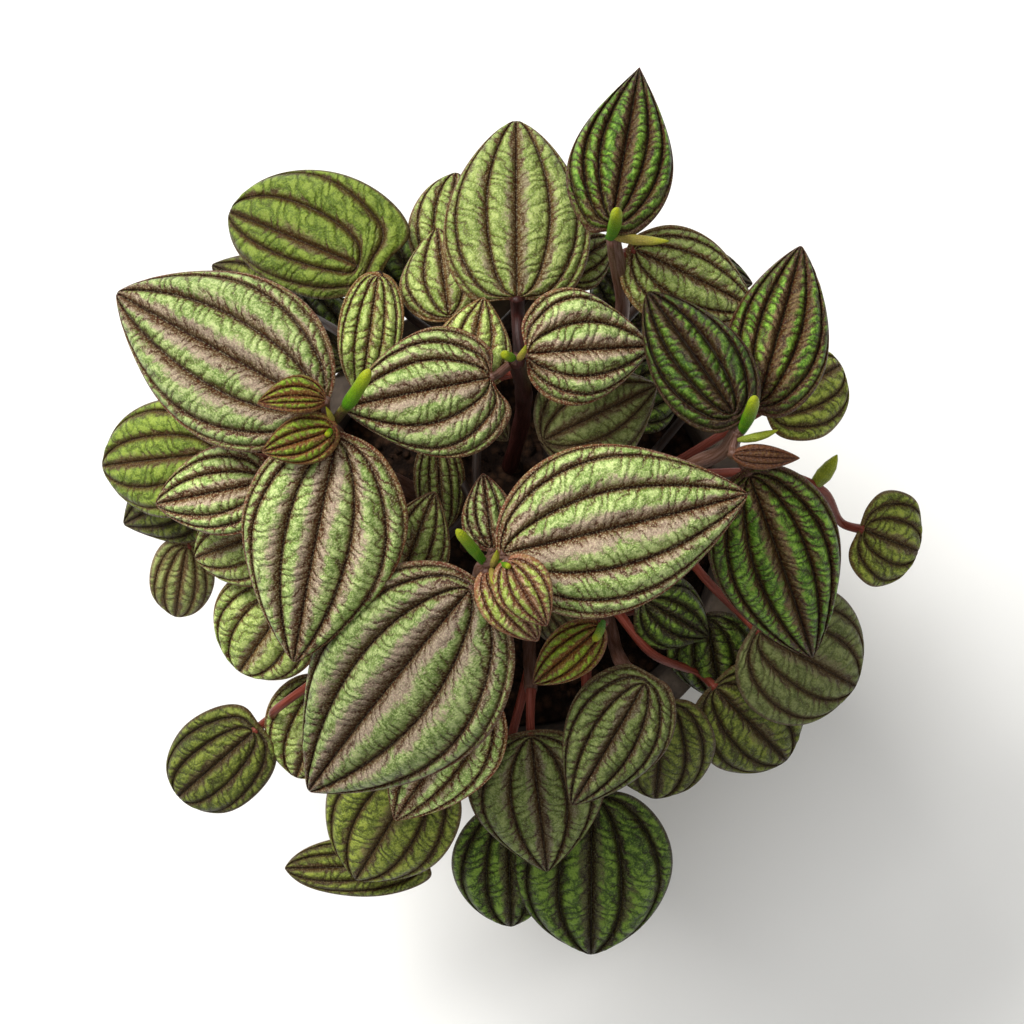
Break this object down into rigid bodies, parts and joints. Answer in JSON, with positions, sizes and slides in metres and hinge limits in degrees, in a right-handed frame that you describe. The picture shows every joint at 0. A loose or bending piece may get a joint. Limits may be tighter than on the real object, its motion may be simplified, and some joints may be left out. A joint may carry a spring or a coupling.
{
  "type": "potted foliage plant",
  "caption": "Potted peperomia: a low mound of striped heart-shaped leaves on red stalks, rising from soil in a plain round pot of dark clay.",
  "frame": {"origin": "middle of the pot's flat base, on the surface it stands on", "axes": "+Z up along the pot's axis, +X to the right and +Y up in the picture, which looks straight down"},
  "size_m": [0.2094, 0.2227, 0.195],
  "materials": {
    "clay": "unglazed dark fired clay, matte",
    "earth": "damp dark potting soil",
    "crown_foliage": "fleshy leaf, satin, light green with brown bands",
    "shade_foliage": "fleshy leaf, satin, mid green with dark veins"
  },
  "bodies": {
    "root": {"pot": "clay", "soil": "earth", "stem_left": "crown_foliage", "stem_middle": "crown_foliage", "stem_back": "crown_foliage", "stem_right": "crown_foliage", "stem_front": "crown_foliage", "stem_bud": "crown_foliage", "stem_front_right": "crown_foliage", "low_back_left": "shade_foliage", "low_back": "shade_foliage", "low_left": "shade_foliage", "low_left_front": "shade_foliage", "low_front_left": "shade_foliage", "low_front": "shade_foliage", "low_front_middle": "shade_foliage", "low_front_right": "shade_foliage", "low_right_front": "shade_foliage", "low_right": "shade_foliage", "low_inner_right": "shade_foliage", "low_inner_left": "shade_foliage"}
  },
  "joints": []
}
